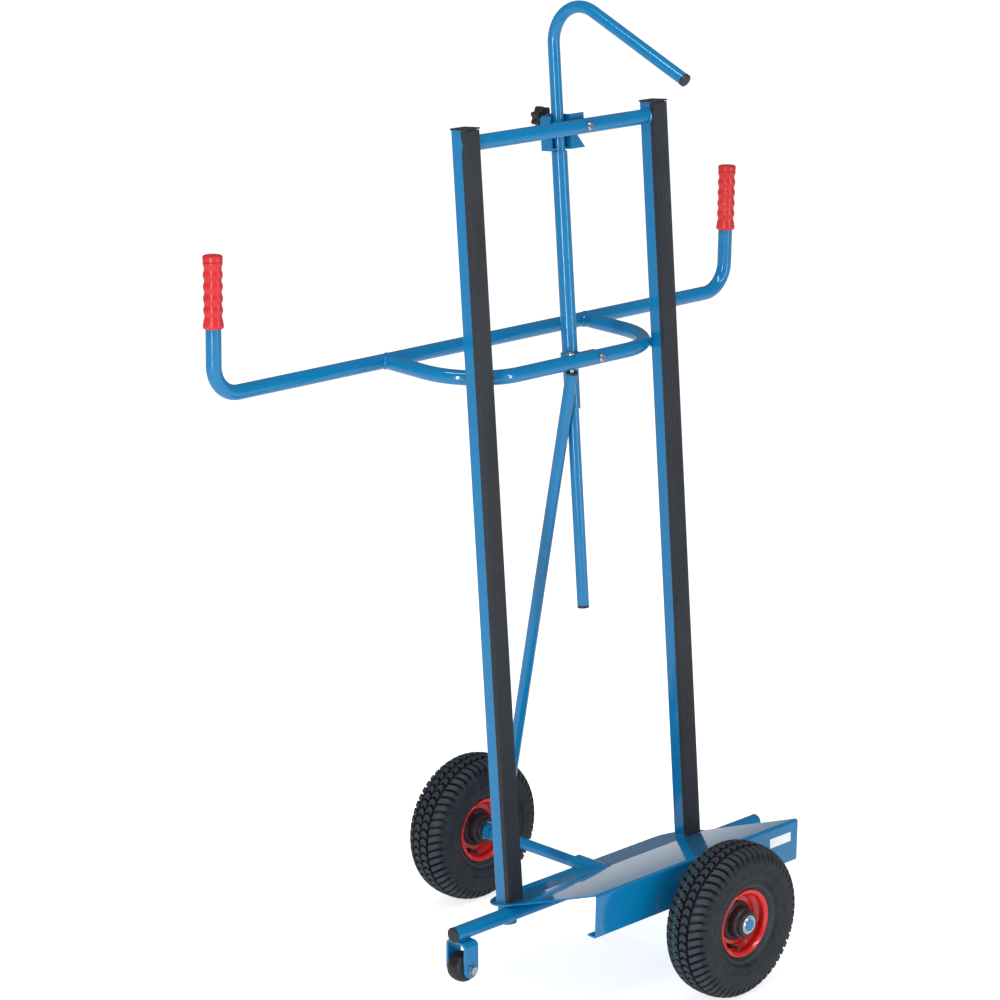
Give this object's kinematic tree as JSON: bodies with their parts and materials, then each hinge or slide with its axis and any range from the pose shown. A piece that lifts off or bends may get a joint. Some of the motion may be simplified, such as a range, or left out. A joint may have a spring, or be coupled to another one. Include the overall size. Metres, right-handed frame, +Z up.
{
  "type": "panel hand truck",
  "caption": "Steel hand truck for panels and doors: air tyres, folded shelf, leaning rubber-faced posts, adjustable top hook, wide handle bar and end castor.",
  "frame": {"origin": "on the floor, under the middle of the axle and half way between the two air tyres", "axes": "+X along the way it rolls, away from the small castor; +Y towards the handle bar, so panels stand on the -Y side; +Z up"},
  "size_m": [1.235, 0.69, 1.5957],
  "materials": {
    "blue_paint": "gloss powder coat",
    "pad_rubber": "satin",
    "black_plastic": "satin",
    "red_grip": "gloss",
    "red_rim": "gloss",
    "zinc": "bright zinc",
    "tyre_rubber": "satin",
    "castor_black": "satin",
    "label_white": "gloss film"
  },
  "bodies": {
    "body": {"shelf": "blue_paint", "left_post": "blue_paint", "right_post": "blue_paint", "left_pad": "pad_rubber", "right_pad": "pad_rubber", "left_post_cap": "black_plastic", "right_post_cap": "black_plastic", "crossbar": "blue_paint", "loop_tube": "blue_paint", "handle_bar": "blue_paint", "left_grip": "red_grip", "right_grip": "red_grip", "guide_tube": "blue_paint", "guide_strap": "blue_paint", "clamp_bracket": "blue_paint", "clamp_nut": "zinc", "crossbar_bolt": "zinc", "crossbar_nut": "zinc", "loop_bolt": "zinc", "loop_nut": "zinc", "brace_bolt": "zinc", "brace_tube": "blue_paint", "brace_cap": "black_plastic", "left_rail": "blue_paint", "right_rail": "blue_paint", "left_rail_cap": "black_plastic", "right_rail_cap": "black_plastic", "left_socket": "blue_paint", "right_socket": "blue_paint", "axle_sleeve": "blue_paint", "axle": "blue_paint", "axle_collars": "blue_paint", "axle_rings": "zinc", "castor_fork": "blue_paint", "castor_sleeve": "zinc", "castor_bolt": "zinc", "castor_nut": "zinc", "label": "label_white"},
    "hook_carriage": {"hook_low_cap": "black_plastic"},
    "hook": {"hook_tube": "blue_paint", "hook_end_cap": "black_plastic"},
    "knob": {"clamp_screw": "zinc", "clamp_knob": "black_plastic"},
    "front_wheel": {"front_tyre": "tyre_rubber", "front_rim": "red_rim", "front_hub": "black_plastic", "front_bearings": "zinc", "front_valve": "black_plastic"},
    "back_wheel": {"back_tyre": "tyre_rubber", "back_rim": "red_rim", "back_hub": "black_plastic", "back_bearings": "zinc", "back_valve": "black_plastic"},
    "castor": {"castor_wheel": "castor_black"}
  },
  "joints": [
    {"name": "front_wheel_spin", "type": "hinge", "parent": "body", "child": "front_wheel", "pos_m": [0, -0.302, 0.13], "axis": [0, 1, 0], "continuous": true},
    {"name": "back_wheel_spin", "type": "hinge", "parent": "body", "child": "back_wheel", "pos_m": [0, 0.302, 0.13], "axis": [0, 1, 0], "continuous": true},
    {"name": "castor_spin", "type": "hinge", "parent": "body", "child": "castor", "pos_m": [-0.351, -0.0315, 0.0695], "axis": [0, 1, 0], "continuous": true},
    {"name": "hook_slide", "type": "slide", "parent": "body", "child": "hook_carriage", "axis": [0, 0.0802, 0.9968], "range_m": [-0.1, 0.6]},
    {"name": "hook_swivel", "type": "hinge", "parent": "hook_carriage", "child": "hook", "pos_m": [0.0193, 0.05614, 0.58471], "axis": [0, 0.0802, 0.9968], "range_deg": [-90, 90]},
    {"name": "knob_turn", "type": "hinge", "parent": "body", "child": "knob", "pos_m": [0.0193, 0.15165, 1.39767], "axis": [0, 0.9968, -0.0802], "continuous": true}
  ]
}
